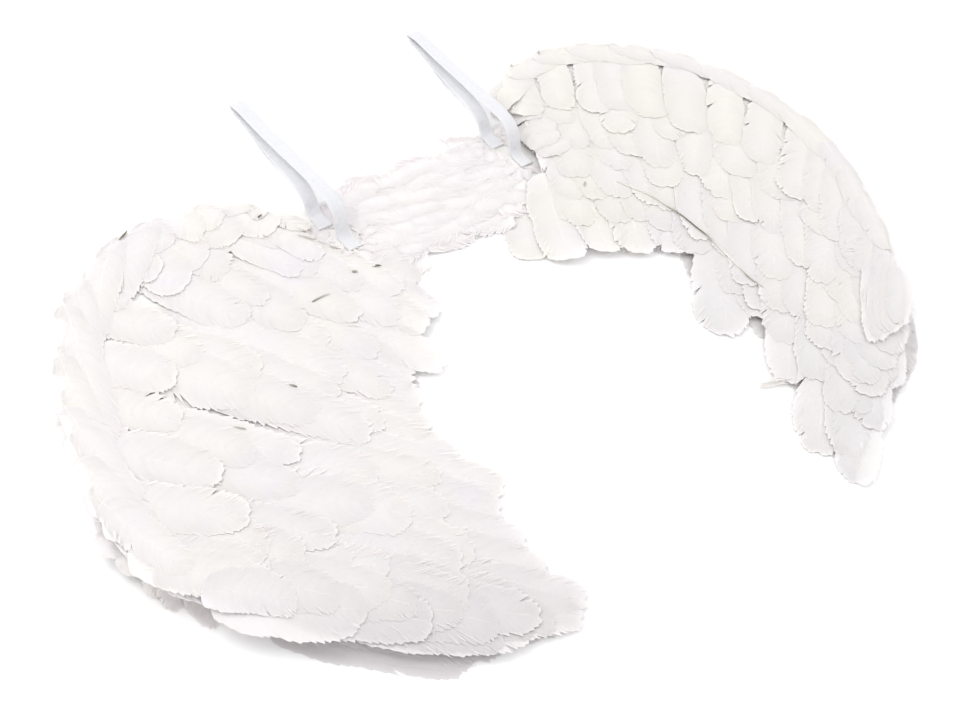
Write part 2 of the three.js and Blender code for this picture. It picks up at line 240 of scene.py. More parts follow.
class Pieces:
    """Gathers grids of quads, their materials and the two values that the feather materials read."""

    def __init__(self):
        self.points, self.quads, self.slots = [], [], []
        self.barbs, self.tones = [], []
        self.count = 0

    def add(self, points, quads, slot=0, barb=None, tone=None):
        points = np.asarray(points, float).reshape(-1, 3)
        n = len(points)
        self.points.append(points)
        self.quads.append(np.asarray(quads, int).reshape(-1, 4) + self.count)
        self.slots.append(np.full(len(self.quads[-1]), slot))
        self.barbs.append(np.zeros((n, 3)) if barb is None else np.asarray(barb, float).reshape(n, 3))
        tone = (0, 0, 0, 0) if tone is None else tone
        self.tones.append(np.broadcast_to(np.asarray(tone, float), (n, 4)))
        self.count += n

    def build(self, name, materials, mirror=1.0):
        points = np.vstack(self.points) * (mirror, 1, 1)
        points = (points + TO_ROW_FRAME) * METRE
        quads = np.vstack(self.quads)
        if mirror < 0:
            quads = quads[:, ::-1]
        mesh = bpy.data.meshes.new(name)
        mesh.from_pydata(points.tolist(), [], quads.tolist())
        mesh.polygons.foreach_set("use_smooth", np.ones(len(quads), bool))
        mesh.polygons.foreach_set("material_index", np.concatenate(self.slots).astype(np.int32))
        barb = mesh.attributes.new("barb", "FLOAT_VECTOR", "POINT")
        barb.data.foreach_set("vector", np.vstack(self.barbs).astype(np.float32).ravel())
        tone = mesh.attributes.new("tone", "FLOAT_COLOR", "POINT")
        tone.data.foreach_set("color", np.vstack(self.tones).astype(np.float32).ravel())
        mesh.set_sharp_from_angle(angle=math.radians(SHARP_ANGLE))
        mesh.update()
        thing = put(name, mesh)
        for material in materials:
            mesh.materials.append(material)
        return thing


def grid_quads(rows, columns, wrap=False):
    """Quads of a grid of rows by columns points, closed round its columns when wrap is set."""
    r, c = np.meshgrid(np.arange(rows - 1), np.arange(columns if wrap else columns - 1), indexing="ij")
    r, c = r.ravel(), c.ravel()
    d = (c + 1) % columns
    return np.stack([r * columns + c, r * columns + d, (r + 1) * columns + d, (r + 1) * columns + c], 1)


def shell(top, bottom):
    """One closed skin from two grids of the same shape (rows, columns, 3)."""
    rows, columns = top.shape[:2]
    n = rows * columns
    quads = grid_quads(rows, columns)
    rim = np.concatenate([
        np.arange(columns), np.arange(1, rows) * columns + columns - 1,
        (rows - 1) * columns + np.arange(columns - 2, -1, -1), np.arange(rows - 2, 0, -1) * columns,
    ])
    after = np.roll(rim, -1)
    sides = np.stack([rim, rim + n, after + n, after], 1)
    points = np.vstack([top.reshape(-1, 3), bottom.reshape(-1, 3)])
    return points, np.vstack([quads, quads[:, ::-1] + n, sides])


def twice(values):
    """The values of a grid's points for both faces of its shell."""
    return np.vstack([values.reshape(-1, values.shape[-1])] * 2)


def tube(path, radii, sides=5, squash=1.0, ends=True):
    """A tube of quads along a path, drawn in at both ends."""
    path = np.asarray(path, float)
    if ends:
        path = np.vstack([path[0], path, path[-1]])
        radii = np.concatenate([[0.001], radii, [0.001]])
    ahead = np.gradient(path, axis=0)
    if ends:
        ahead[0], ahead[-1] = ahead[1], ahead[-2]
    ahead /= np.linalg.norm(ahead, axis=1)[:, None]
    across = np.cross(ahead, (0.0, 0.0, 1.0))
    across /= np.maximum(np.linalg.norm(across, axis=1), 1e-6)[:, None]
    up = np.cross(across, ahead)
    angle = (np.arange(sides) * 2 * math.pi / sides)[None, :, None]
    ring = np.cos(angle) * across[:, None] + squash * np.sin(angle) * up[:, None]
    points = path[:, None] + ring * radii[:, None, None]
    return points.reshape(-1, 3), grid_quads(len(path), sides, wrap=True)[:, ::-1]


# Feathers

# Half widths of a vane at shares of its length, and how far onward its barbs end
FORMS = {
    "round": ([0, 0.1, 0.3, 0.55, 0.78, 0.9, 0.96, 0.99, 1],
              [0.25, 0.62, 0.9, 1.0, 0.98, 0.84, 0.62, 0.36, 0.08]),
    "long": ([0, 0.08, 0.25, 0.5, 0.75, 0.9, 0.96, 0.99, 1],
             [0.25, 0.66, 0.92, 1.0, 0.93, 0.74, 0.52, 0.3, 0.06]),
}
SWEEP = ([0, 0.2, 0.5, 0.8, 0.93, 1], [0.035, 0.11, 0.15, 0.12, 0.055, 0])


def blade(path, width, thick=0.3):
    """A closed sliver of three sides along a path of four points, one strand of barbs."""
    return tube(path, np.array([0.03, 1.0, 0.7, 0.03]) * width / 2, 3, thick, ends=False)


class Feather:
    """One feather laid on a wing or on the bridge, along a line in plan."""

    def __init__(self, rng, root, tip, width, form="round", bow=0.0, clumps=20, columns=5, split=0.07,
                 tone=(0, 0)):
        self.rng = rng
        self.root = np.asarray(root, float)
        self.axis = np.asarray(tip, float) - self.root
        self.length = np.linalg.norm(self.axis)
        self.ahead = self.axis / self.length
        self.side = np.array([self.ahead[1], -self.ahead[0]])
        self.half = width / 2
        self.form = FORMS[form]
        self.bow = bow
        self.clumps, self.columns = clumps, columns
        self.split = split
        self.number = rng.uniform(0, 100)
        # The second tone value, greyness, holds the painted shade set by place on the wing, plus a random
        # grey of the feather's own.
        warm, grey = tone
        self.tone = np.array([
            np.clip(warm + rng.uniform(-0.3, 0.3), 0, 1),
            np.clip(grey + rng.uniform(-0.12, 0.12), 0, 1),
            rng.uniform(0, 1), 0,
        ])
        self.waves = rng.uniform(0, 2 * math.pi, 4)
        self.narrow = rng.uniform(0.8, 0.98)

    def plan(self, x, y):
        """Plan place of a point x across and y along the feather."""
        v = np.clip(y / self.length, -0.2, 1.1)
        x = x + self.bow * 4 * v * (1 - v)
        return self.root + y[..., None] * self.ahead + x[..., None] * self.side

    def vane(self):
        """Places across and along, shares along the quill and from it, and which rows are ridges."""
        rows, m, rng = 2 * self.clumps + 1, self.columns, self.rng
        a = np.linspace(0.03, 0.985, rows)
        a[1:-1] += rng.uniform(-0.3, 0.3, rows - 2) / rows
        q = a + np.interp(a, *SWEEP)
        half = self.half * np.interp(q, *self.form)
        ridge = np.arange(rows) % 2 == 1
        x = np.zeros((rows, 2 * m + 1))
        y = np.zeros_like(x)
        u = np.abs(np.arange(-m, m + 1)) / m
        for hand in (-1, 1):
            ends = half * (self.narrow if hand < 0 else 1.0)
            jag = np.where(ridge, rng.uniform(0.0, 0.09, rows), -rng.uniform(0.0, 0.07, rows))
            slow = 0.05 * np.sin(a * 9 + self.waves[0] + hand) + 0.03 * np.sin(a * 23 + self.waves[1] * hand)
            reach = 1 + jag + slow
            cut = (~ridge) & (rng.uniform(0, 1, rows) < self.split)
            reach[cut] -= rng.uniform(0.1, 0.35, cut.sum())
            u_end = np.clip(reach, 0.3, 1.25)
            for j in range(1, m + 1):
                w = (j / m) * u_end
                column = m + hand * j
                x[:, column] = hand * (1.2 * w * (1 - w) * ends + w * w * ends)
                y[:, column] = (1 - w) ** 2 * a + 2 * w * (1 - w) * (a + 0.25 * (q - a)) + w * w * q
        y[:, m] = a
        return x, y * self.length, a, u, ridge

    def outline(self):
        """Places in plan that a vane of this feather takes up."""
        return self.plan(*self.vane()[:2]).reshape(-1, 2)

    def lay(self, pieces, pile, ground, camber, curl=0.0, settle=(0.25, 0.85), keep=2.0, quill=0.2,
            loft=1.0, reach=3):
        """Lays the feather: its root at the row's own height, the rest draped over what lies there."""
        x, y, a, u, ridge = self.vane()
        plan = self.plan(x, y)
        v = y / self.length
        under = pile.under(plan, reach)
        own = ground(plan.reshape(-1, 2)).reshape(x.shape)
        down = smooth(*settle, v)
        low = np.maximum(under, own - keep)
        z = np.maximum(own * (1 - down) + low * down - camber * u ** 2 * (1 - down), under)
        wave = 0.05 * np.sin(v * 7 + self.waves[2]) * u
        wave = wave + 0.04 * np.sin(v * 17 + self.waves[3] + np.sign(x)) * u
        relief = np.where(ridge, 0.05, -0.03)[:, None] * np.sqrt(u)[None]
        crown = 0.2 * (1 - u ** 2) * np.interp(v, [0, 0.1, 0.8, 1], [0.4, 1, 1, 0.0])
        z = z + loft * (0.04 + crown + wave + relief) + curl * smooth(0.6, 1.0, v) ** 2 * (0.3 + 0.7 * u)
        z = np.maximum(z, LOWEST)
        self.line = z[:, self.columns], a
        thick = 0.16 - 0.11 * np.maximum(u, smooth(0.75, 1.0, v))
        top = np.dstack([plan, z + thick])
        pile.press(top)
        points, quads = shell(top, np.dstack([plan, z]))
        barb = np.dstack([
            np.sign(x) * u * self.half, np.broadcast_to((a * self.length)[:, None], x.shape),
            np.full(x.shape, self.number),
        ])
        tone = np.broadcast_to(self.tone, x.shape + (4,)).copy()
        tone[..., 3] = smooth(0.3, 0.0, v)
        pieces.add(points, quads, 0, twice(barb), twice(tone))
        if quill:
            self.quill(pieces, quill)

    def height_at(self, v):
        z, a = self.line
        return np.interp(v, a, z)

    def quill(self, pieces, girth):
        v = np.linspace(*QUILL_ENDS, 9)
        plan = self.plan(np.zeros_like(v), v * self.length)
        z = self.height_at(v) + QUILL_LIFT
        points, quads = tube(np.column_stack([plan, z]), np.interp(v, [0, 1], [girth, 0.1]), 4, 0.7)
        pieces.add(points, quads, 1, None, (*self.tone[:3], 0.0))

    def fray(self, pieces, count, reach=4.0, ends=(0.05, 0.95), rise=0.5, width=0.5):
        """Fine loose strands that stand off the edge of the vane."""
        rng = self.rng
        for _ in range(count):
            a = rng.uniform(*ends)
            hand = rng.choice([-1, 1])
            q = min(1.0, a + np.interp(a, *SWEEP))
            half = self.half * np.interp(q, *self.form) * (self.narrow if hand < 0 else 1.0)
            w = STRAND
            out = rng.uniform(0.35, 1.0) * reach
            x = hand * (half * (0.72 + 0.25 * w) + out * w ** 1.4 * 0.75)
            y = (a + (q - a) * (0.5 + 0.5 * w)) * self.length + (out * 0.7 + rng.uniform(-1, 2)) * w ** 1.5
            z = self.height_at(y / self.length) + 0.1 + rng.uniform(-0.1, rise) * w
            path = np.column_stack([self.plan(x, y), np.maximum(z, 0.15)])
            pieces.add(*blade(path, rng.uniform(0.7, 1.3) * width), 0, None, self.tone)


def wing_ground(level, pile):
    """Heights of a row's own place; by the bridge they sink on to what lies there."""
    def ground(plan):
        s, t = share_map(plan)
        raised = 1.0 if level < 0 else smooth(0.02, 0.17, s)
        return row_height(level, s, t) * raised + (1 - raised) * pile.under(plan)
    return ground


# Materials

def node_material(name, base, roughness):
    material = bpy.data.materials.new(name)
    material.use_nodes = True
    tree = material.node_tree
    shader = tree.nodes["Principled BSDF"]
    shader.inputs["Base Color"].default_value = (*base, 1)
    shader.inputs["Roughness"].default_value = roughness
    return material, tree, shader


def add_node(tree, kind, inputs=None, **values):
    node = tree.nodes.new(kind)
    for key, value in values.items():
        setattr(node, key, value)
    for key, value in (inputs or {}).items():
        if isinstance(value, bpy.types.NodeSocket):
            tree.links.new(value, node.inputs[key])
        else:
            node.inputs[key].default_value = value
    return node


def math_node(tree, operation, *values):
    """The result of a Math node on numbers or sockets."""
    return add_node(tree, "ShaderNodeMath", dict(enumerate(values)), operation=operation).outputs[0]


def stretched(tree, vector, by):
    return add_node(tree, "ShaderNodeVectorMath", {0: vector, 1: by}, operation="MULTIPLY").outputs[0]


def noise(tree, vector, scale, detail, **more):
    inputs = {"Vector": vector, "Scale": scale, "Detail": detail, **more}
    return add_node(tree, "ShaderNodeTexNoise", inputs).outputs["Fac"]


def mapped(tree, value, low, high, to_low, to_high):
    """A value carried from one range to another."""
    inputs = {"Value": value, 1: low, 2: high, 3: to_low, 4: to_high}
    return add_node(tree, "ShaderNodeMapRange", inputs).outputs["Result"]


def object_place(tree):
    return add_node(tree, "ShaderNodeTexCoord").outputs["Object"]


def ramp(tree, factor, stops):
    node = add_node(tree, "ShaderNodeValToRGB", {"Fac": factor})
    for element, (position, colour) in zip(node.color_ramp.elements, stops):
        element.position = position
        element.color = (*colour, 1)
    return node.outputs["Color"]


def mix_colour(tree, factor, a, b):
    node = add_node(tree, "ShaderNodeMix", data_type="RGBA")
    for socket, value in ((node.inputs[0], factor), (node.inputs[6], a), (node.inputs[7], b)):
        if isinstance(value, bpy.types.NodeSocket):
            tree.links.new(value, socket)
        else:
            socket.default_value = (*value, 1)
    return node.outputs[2]


def finish_surface(tree, shader, colour, rough, height, strength, distance, sockets):
    """Links colour, roughness and bump to the shader, and sets the sockets that are the same all over."""
    bump = add_node(tree, "ShaderNodeBump", {"Height": height, "Strength": strength, "Distance": distance})
    for name, output in (("Base Color", colour), ("Roughness", rough), ("Normal", bump.outputs["Normal"])):
        tree.links.new(output, shader.inputs[name])
    for name, value in sockets.items():
        shader.inputs[name].default_value = value


def feather_material(name, pale, warm, grey, lilac, through=0.3):
    """Barbs run along the barb attribute; the tone attribute gives each feather its warmth and greyness, and
    the greyness holds painted shade.
    """
    material, tree, shader = node_material(name, pale, 0.75)
    barb = add_node(tree, "ShaderNodeAttribute", attribute_name="barb").outputs["Vector"]
    tone = add_node(tree, "ShaderNodeAttribute", attribute_name="tone")
    split = add_node(tree, "ShaderNodeSeparateColor", {"Color": tone.outputs["Color"]})
    fine = noise(tree, stretched(tree, barb, (0.09, 1.7, 1.0)), 1.0, 4.0, Roughness=0.65)
    streak = noise(tree, stretched(tree, barb, (0.05, 0.28, 1.0)), 1.0, 3.0, Roughness=0.55)
    place = object_place(tree)
    colour = mix_colour(tree, split.outputs["Red"], pale, warm)
    # The green share of the tone mixes in the grey colour as painted shade set by place on the wing, with
    # each feather's own random grey.
    for share, tint in (
        (mapped(tree, noise(tree, place, 16.0, 4.0), 0.42, 0.68, 0.0, 0.55), warm),
        (mapped(tree, noise(tree, place, 23.0, 3.0), 0.48, 0.7, 0.0, 0.8), lilac),
        (split.outputs["Green"], grey),
        (mapped(tree, streak, 0.45, 0.8, 0.0, 0.3), grey),
        (math_node(tree, "MULTIPLY", tone.outputs["Alpha"], 0.4), grey),
    ):
        colour = mix_colour(tree, share, colour, tint)
    rough = mapped(tree, fine, 0.0, 1.0, 0.62, 0.88)
    height = math_node(tree, "ADD", fine, streak)
    finish_surface(tree, shader, colour, rough, height, 0.4, 0.0003, {
        "Sheen Weight": 0.2, "Sheen Roughness": 0.5, "Specular IOR Level": 0.25,
        "Subsurface Weight": through, "Subsurface Radius": (1.0, 0.96, 0.93), "Subsurface Scale": 0.003,
    })
    return material


def quill_material(name, base, dark):
    """A shaft: the tone attribute's last value turns it from ivory to its dark colour."""
    material, tree, shader = node_material(name, base, 0.45)
    tone = add_node(tree, "ShaderNodeAttribute", attribute_name="tone").outputs["Alpha"]
    cloud = noise(tree, object_place(tree), 60.0, 4.0)
    stain = math_node(tree, "MULTIPLY_ADD", math_node(tree, "SUBTRACT", cloud, 0.35), 0.25, tone)
    colour = ramp(tree, stain, [(0.0, base), (1.0, dark)])
    rough = mapped(tree, cloud, 0.0, 1.0, 0.35, 0.6)
    finish_surface(tree, shader, colour, rough, cloud, 0.3, 0.0002, {})
    return material


def felt_material(name, base, shade):
    material, tree, shader = node_material(name, base, 0.95)
    place = object_place(tree)
    fibre = noise(tree, place, 900.0, 5.0, Distortion=1.5)
    both = math_node(tree, "ADD", fibre, noise(tree, place, 45.0, 3.0))
    colour = ramp(tree, math_node(tree, "MULTIPLY", both, 0.5), [(0.3, shade), (0.62, base)])
    rough = mapped(tree, fibre, 0.0, 1.0, 0.85, 1.0)
    finish_surface(tree, shader, colour, rough, both, 0.7, 0.0005, {
        "Sheen Weight": 0.35, "Specular IOR Level": 0.2,
    })
    return material


def elastic_material(name, base, shade):
    """Woven ribs along the band and picks across it, from the band's own across and along lengths."""
    material, tree, shader = node_material(name, base, 0.7)
    barb = add_node(tree, "ShaderNodeAttribute", attribute_name="barb").outputs["Vector"]
    split = add_node(tree, "ShaderNodeSeparateXYZ", {0: barb})
    ribs, picks = (
        math_node(tree, "SINE", math_node(tree, "MULTIPLY", split.outputs[axis], per_mm * 2 * math.pi))
        for axis, per_mm in (("X", 1.15), ("Y", 1.6))
    )
    weave = math_node(tree, "ADD", math_node(tree, "MULTIPLY", ribs, picks), ribs)
    wear = noise(tree, barb, 0.35, 4.0)
    mixed = math_node(tree, "MULTIPLY", mapped(tree, weave, -1.6, 1.6, 0.0, 1.0), wear)
    colour = ramp(tree, mixed, [(0.05, shade), (0.4, base)])
    rough = mapped(tree, wear, 0.0, 1.0, 0.6, 0.85)
    finish_surface(tree, shader, colour, rough, weave, 0.5, 0.0002, {"Specular IOR Level": 0.2})
    return material


# The grey colours serve the feathers' own streaks and grey roots, and the painted shade set by place on each
# wing.
VANES = {
    "right": feather_material(
        "vane_lilac_white", pale=(0.91, 0.867, 0.868), warm=(0.92, 0.882, 0.825),
        grey=(0.75, 0.715, 0.725), lilac=(0.90, 0.852, 0.892)),
    "left": feather_material(
        "vane_cream_white", pale=(0.872, 0.832, 0.818), warm=(0.885, 0.845, 0.785),
        grey=(0.78, 0.762, 0.775), lilac=(0.858, 0.812, 0.842)),
}
DOWN = feather_material(
    "down_white", pale=(0.90, 0.858, 0.868), warm=(0.905, 0.868, 0.84),
    grey=(0.82, 0.78, 0.80), lilac=(0.885, 0.835, 0.868), through=0.25)
QUILL = quill_material("quill_ivory", base=(0.87, 0.84, 0.79), dark=(0.16, 0.13, 0.085))
FELT_WHITE = felt_material("felt_fibres", base=(0.88, 0.865, 0.845), shade=(0.80, 0.785, 0.76))
THREAD = quill_material("sewing_thread", base=(0.88, 0.87, 0.86), dark=(0.7, 0.68, 0.66))
ELASTIC = elastic_material("elastic_weave", base=(0.795, 0.797, 0.818), shade=(0.70, 0.703, 0.735))


def dress(thing, slot, *nodes):
    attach(thing, "root")
    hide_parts(*nodes)


# Backings

def felt_sheet(plan, heights):
    """A closed felt sheet with softly rounded edges, from a grid of plan places and underside heights."""
    rows, columns = plan.shape[:2]
    rng = np.random.default_rng(rows * columns)
    wobble = rng.normal(0, 0.05, heights.shape)
    i = np.minimum(np.arange(rows), np.arange(rows)[::-1])[:, None]
    j = np.minimum(np.arange(columns), np.arange(columns)[::-1])[None]
    inset = 0.55 * (1 - np.clip(np.minimum(i, j) / 2, 0, 1))
    top = np.dstack([plan, heights + FELT - inset + wobble])
    bottom = np.dstack([plan, heights + inset + 0.5 * np.abs(wobble)])
    return top, bottom


def felt_backing(side):
    s, t = np.meshgrid(np.linspace(*BACKING_ALONG, 70), np.linspace(*BACKING_ACROSS, 26), indexing="ij")
    plan = made_point(side, s.ravel(), t.ravel())
    heights = backing_height(*share_map(plan)).reshape(s.shape)
    return felt_sheet(plan.reshape(s.shape + (2,)), heights)


def bridge_plan(columns, rows):
    """A grid of plan places over the bridge, its corners drawn in to a round."""
    w, d, r = BRIDGE_HALF_WIDTH, BRIDGE_HALF_DEPTH, BRIDGE_CORNER
    x, y = np.meshgrid(np.linspace(-w, w, columns), np.linspace(-d, d, rows), indexing="ij")
    over_x, over_y = np.maximum(np.abs(x) - (w - r), 0), np.maximum(np.abs(y) - (d - r), 0)
    away = np.hypot(over_x, over_y)
    limit = np.maximum(over_x, over_y)
    scale = np.where(away > 1e-6, limit / np.maximum(away, 1e-6), 1)
    x = np.sign(x) * (np.minimum(np.abs(x), w - r) + over_x * scale)
    y = np.sign(y) * (np.minimum(np.abs(y), d - r) + over_y * scale)
    return np.dstack([x, y + BRIDGE_MIDDLE[1]])


# Wings

def even(count, first, last, root, tip, width, form="round", sway=1.0, fan=0.0, shuffle=1.2):
    """A row of feathers side by side: where along the wing, and from which share across to which."""
    return dict(
        s=list(np.linspace(first, last, count)), root=root, tip=tip, width=width, form=form, sway=sway,
        fan=fan, shuffle=shuffle, curl=0.0,
    )


def placed(root, width, form, tips, curl=0.0, sway=0.3, shuffle=0.0):
    """A row whose tips have chosen places: pairs of the shares along and across."""
    return dict(
        s=[tip[0] for tip in tips], root=root, tip=[tip[1] for tip in tips], width=width, form=form,
        sway=sway, fan=0.0, shuffle=shuffle, curl=curl,
    )


RIGHT_TIPS = [
    (0.012, 0.97), (0.06, 0.93), (0.115, 1.03), (0.165, 0.98), (0.228, 1.03), (0.29, 0.95), (0.345, 0.97),
    (0.4, 0.97), (0.45, 0.99), (0.5, 1.05), (0.555, 1.0), (0.608, 1.02), (0.665, 1.0), (0.72, 1.015),
    (0.785, 1.0), (0.84, 1.0), (0.885, 0.99), (0.925, 0.965),
]
LEFT_TIPS = [
    (0.045, 0.985), (0.135, 0.97), (0.21, 0.965), (0.29, 0.975), (0.375, 0.955), (0.485, 1.03), (0.55, 0.86),
    (0.61, 0.97), (0.685, 1.03), (0.76, 0.95), (0.825, 1.05), (0.895, 0.99), (0.945, 0.94),
]
LEFT_WIDTHS = [40, 42, 41, 40, 38, 45, 32, 35, 36, 34, 34, 32, 30]
LEFT_BACK_TIPS = [0.95, 0.95, 0.94, 0.92, 0.88, 0.93, 0.97, 0.96, 0.97, 0.96, 0.96]
RIM = {
    "right": ([0, 0.12, 0.3, 0.36, 0.5, 0.62, 0.8, 1.0],
              [0.09, 0.055, 0.02, -0.01, 0.005, 0.01, 0.03, 0.06]),
    "left": ([0, 0.12, 0.3, 0.45, 0.55, 0.7, 0.9, 1.0], [0.03, 0.0, -0.02, -0.05, -0.03, 0.0, -0.02, 0.0]),
}
WING_ROWS = {
    "right": {
        "back_feathers": (-1, [
            even(11, 0.3, 0.965, 0.16, 0.96, 36, "round", 0.5),
            even(4, 0.84, 0.96, 0.3, 0.93, 32, "round", 0.5),
            even(6, 0.64, 0.9, 0.11, 0.02, 22, "long", 0.8, 0.07, 0.0),
        ]),
        "flight_feathers": (0, [
            placed([0.8, 0.72, 0.62] + [0.42] * 15, 38, "long", RIGHT_TIPS),
            even(12, 0.04, 0.89, 0.38, 0.87, 36, "long", 1.5),
        ]),
        "lower_coverts": (1, [
            even(14, 0.1, 0.91, 0.26, 0.74, 38, "long", 1.5),
            even(6, 0.16, 0.86, 0.24, 0.62, 36, "long", 2.0),
        ]),
        "upper_coverts": (2, [
            even(14, 0.07, 0.905, 0.08, 0.52, 38, "long", 1.5),
            even(6, 0.12, 0.84, 0.06, 0.41, 35, "long", 2.0),
        ]),
        "edge_feathers": (3, [
            even(14, 0.05, 0.9, 0.0, 0.31, 35, "long", 1.4),
            even(6, 0.08, 0.31, 0.0, 0.18, 29, "round", 1.4),
            even(8, 0.3, 0.72, 0.02, 0.1, 22, "long", 0.8, 0.085, 0.0),
        ]),
    },
    "left": {
        "back_feathers": (-1, [
            even(11, 0.3, 1.0, 0.14, LEFT_BACK_TIPS, 37),
            even(5, 0.84, 1.0, 0.3, 0.93, 32),
            even(6, 0.86, 1.0, 0.05, 0.6, 30, "long"),
        ]),
        "flight_feathers": (0, [
            placed([0.72, 0.6] + [0.47] * 11, LEFT_WIDTHS, "round", LEFT_TIPS, curl=1.2),
            even(14, 0.13, 0.91, 0.42, 0.85, 32),
        ]),
        "lower_coverts": (1, [
            even(17, 0.13, 0.93, 0.28, 0.77, 33, "long", 1.2),
            even(7, 0.2, 0.78, 0.28, 0.66, 32, "round", 1.7),
        ]),
        "upper_coverts": (2, [
            even(17, 0.12, 0.92, 0.1, 0.56, 33, "long", 1.2),
            even(7, 0.2, 0.78, 0.1, 0.43, 31, "round", 1.7),
            even(12, 0.12, 0.86, 0.0, 0.17, 32, "round", 0.8),
        ]),
        "edge_feathers": (3, [
            even(15, 0.1, 0.86, 0.0, 0.34, 34, "round", 1.2),
            even(5, 0.86, 0.972, 0.0, 0.66, 20, "long", 0.5, 0.0, 0.0),
            even(12, 0.12, 0.84, 0.04, 0.04, 23, "long", 0.6, 0.07, 0.0),
        ]),
    },
}

# Small feathers at a wing's inner end: root, tip, width and greyness
INNER = {
    "right": [
        ((96, 40), (76, 34), 17, 0.1), ((100, 26), (80, 16), 18, 0.1), ((86, 22), (66, 30), 14, 0.1),
        ((92, 10), (72, -6), 18, 0.2), ((104, 36), (88, 12), 20, 0.15), ((112, 30), (90, -6), 22, 0.15),
    ],
    "left": [
        ((118, 16), (98, 24), 16, 0.3), ((121, 25), (101, 41), 19, 0.45), ((144, 30), (115, 55), 22, 0.5),
        ((160, 33), (126, 66), 23, 0.45), ((178, 37), (150, 73), 24, 0.3),
        ((124, 14), (95.5, 15), 16, 0.2), ((122, -4), (95, 0), 17, 0.1), ((120, 6), (94.5, 8), 14, 0.1),
    ],
}

# Tufts of loose barbs that stand off a wing's edge: root, tip and strands
WISPS = {
    "right": [((230, 30), (253, 38), 26), ((268, -38), (293, -35), 26)],
    "left": [((112, -231), (88, -223), 18)],
}
WISP_TONE = (0.4, 0.1, 0, 0)

# Bare lengths of quill that show: piece, points in plan, thickness and darkness at each point
QUILLS = {
    "right": [
        ("edge_feathers", [(193, 60), (189, 62), (185, 64.5)], 0.75, [0.9, 1, 0.8]),
        ("edge_feathers", [(109.5, 37), (106, 38)], 0.7, [1, 1]),
        ("edge_feathers", [(95, 15), (88, 9), (81, 4)], 0.5, [0.3, 0.6, 0.3]),
        ("edge_feathers", [(78, 3), (71.5, -3.3)], 0.5, [0.6, 0.4]),
        ("edge_feathers", [(92, 20), (84, 14)], 0.4, [0.2, 0.4]),
        ("upper_coverts", [(117, -32.7), (110, -32), (104, -32.7)], 0.6, [1, 0.6, 0.3]),
        ("upper_coverts", [(63.5, -25.5), (60, -27.5)], 0.8, [1, 0.9]),
        ("upper_coverts", [(81, -24.5), (78, -26)], 0.8, [0.8, 0.6]),
        ("upper_coverts", [(165, -77), (162, -81)], 0.7, [0.5, 0.9]),
        ("edge_feathers", [(209, -86), (204, -91)], 0.6, [0.3, 0.7]),
    ],
    "left": [
        ("upper_coverts", [(126.9, -48.5), (138.7, -67.7), (146.3, -92.1), (147.7, -106.5), (149.1, -119.8),
                           (148.8, -146.3), (147.6, -159.8), (150.4, -170.3)], 0.6,
         [0.15, 0.1, 0.25, 0.3, 0.8, 1, 1, 0.3, 0.05, 0.2, 0.8, 0.5]),
        ("upper_coverts", [(106, -38), (103, -41)], 0.7, [0.7, 0.5]),
        ("edge_feathers", [(134, 76), (131, 72)], 0.7, [0.5, 0.8]),
        ("edge_feathers", [(160, 76), (157, 72)], 0.6, [0.5, 0.7]),
    ],
}


# Arm loops: across, where the two feet and the free end lie; onward, where the feet begin
LOOPS = {"right": (-64, -70, -57, -4), "left": (86, 79, 98, 0)}
NEAR_FOOT, RISING_LEGS = (-1, 17), (33, 45)
LOOP_CLEARANCE = 5.2


def clear_of_loops(spots, sign=1.0):
    """Whether places in plan keep clear of the arm loops' near feet and of where both legs rise."""
    x, y = spots[:, 0] * sign, spots[:, 1]
    for near_foot, far_foot, _, up in LOOPS.values():
        for at, (first, last) in ((near_foot, NEAR_FOOT), (far_foot, RISING_LEGS)):
            if ((np.abs(x - at) < LOOP_CLEARANCE) & (y > up + first) & (y < up + last)).any():
                return False
    return True


def tone_and_shade_at(side, s, t):
    """How warm and how grey a feather is by its place on the wing; the greyness by place is painted shade,
    darker towards the tip and the trailing edge.
    """
    if side == "right":
        warm = 0.35 + 0.3 * float(smooth(0.5, 0.1, s))
        # Painted shade: greyer towards the wing's tip and its trailing edge.
        grey = 0.08 + 0.92 * float(smooth(0.5, 0.95, s) * smooth(0.1, 0.85, t))
    else:
        # Painted shade: a patch of lobes by the trailing edge is painted greyer and less warm, and the wing
        # greyer towards its tip.
        shaded_lobes = float(smooth(0.36, 0.44, s) * smooth(0.66, 0.84, t))
        warm = 0.75 - 0.35 * float(smooth(0.3, 0.9, s)) - 0.4 * shaded_lobes
        grey = 0.08 + 0.22 * float(smooth(0.5, 0.9, s)) + 0.3 * shaded_lobes
    return warm, grey


def chosen(value, k):
    """A feather's own value where the row lists them, or else the row's one value."""
    return value[k] if isinstance(value, list) else value


